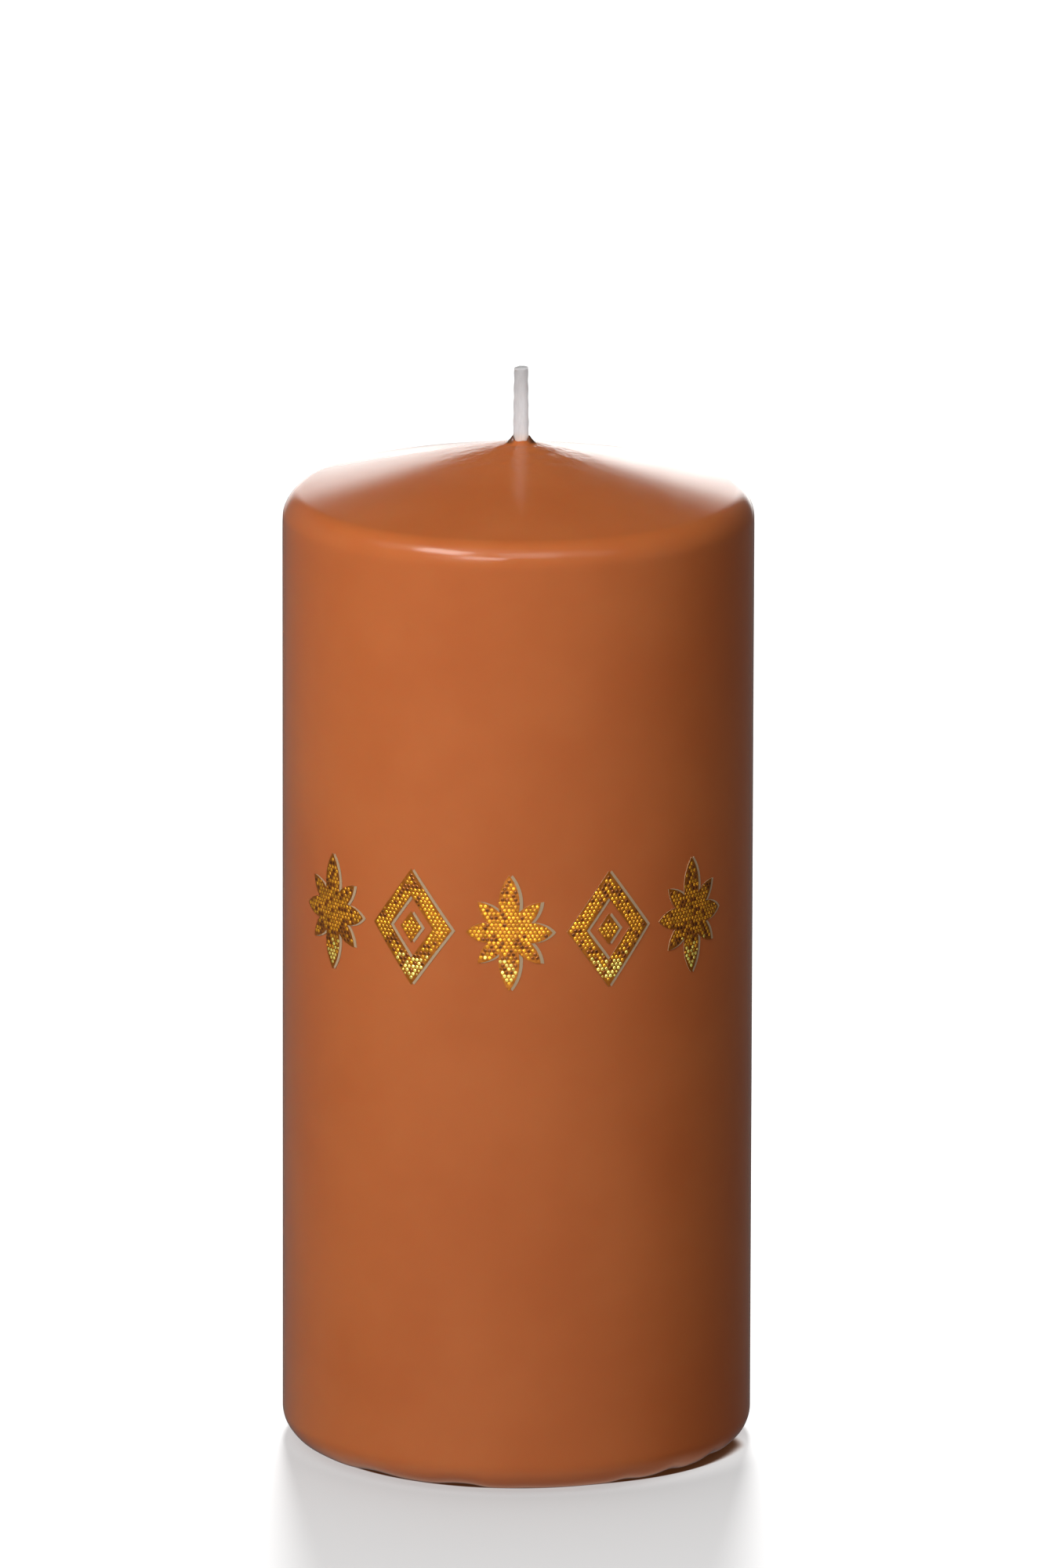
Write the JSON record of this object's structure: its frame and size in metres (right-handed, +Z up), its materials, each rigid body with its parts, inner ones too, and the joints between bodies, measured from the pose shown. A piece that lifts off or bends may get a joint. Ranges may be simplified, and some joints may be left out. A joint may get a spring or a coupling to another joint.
{
  "type": "pillar candle",
  "caption": "Round pillar candle with a shallow conical top, dyed wax coat over a pale core, braided wick with metal sustainer and a row of flat gold glitter ornaments.",
  "frame": {"origin": "centre of the base, on the surface that the candle stands on", "axes": "+Z up along the candle's axis, -Y towards the front, where the middle of the row of ornaments is"},
  "size_m": [0.07, 0.0702, 0.1634],
  "materials": {
    "dyed_wax": "satin",
    "raw_wax": "granular satin",
    "cotton": "braided, lightly waxed",
    "tinplate": "satin",
    "tan_backing": "matte",
    "gold_glitter": "glitter"
  },
  "bodies": {
    "root": {"wax_core": "raw_wax", "colour_coat": "dyed_wax", "wick": "cotton", "wick_sustainer": "tinplate", "ornament_backing_1": "tan_backing", "ornament_backing_2": "tan_backing", "ornament_backing_3": "tan_backing", "ornament_backing_4": "tan_backing", "ornament_backing_5": "tan_backing", "ornament_face_1": "gold_glitter", "ornament_face_2": "gold_glitter", "ornament_face_3": "gold_glitter", "ornament_face_4": "gold_glitter", "ornament_face_5": "gold_glitter"}
  },
  "joints": []
}
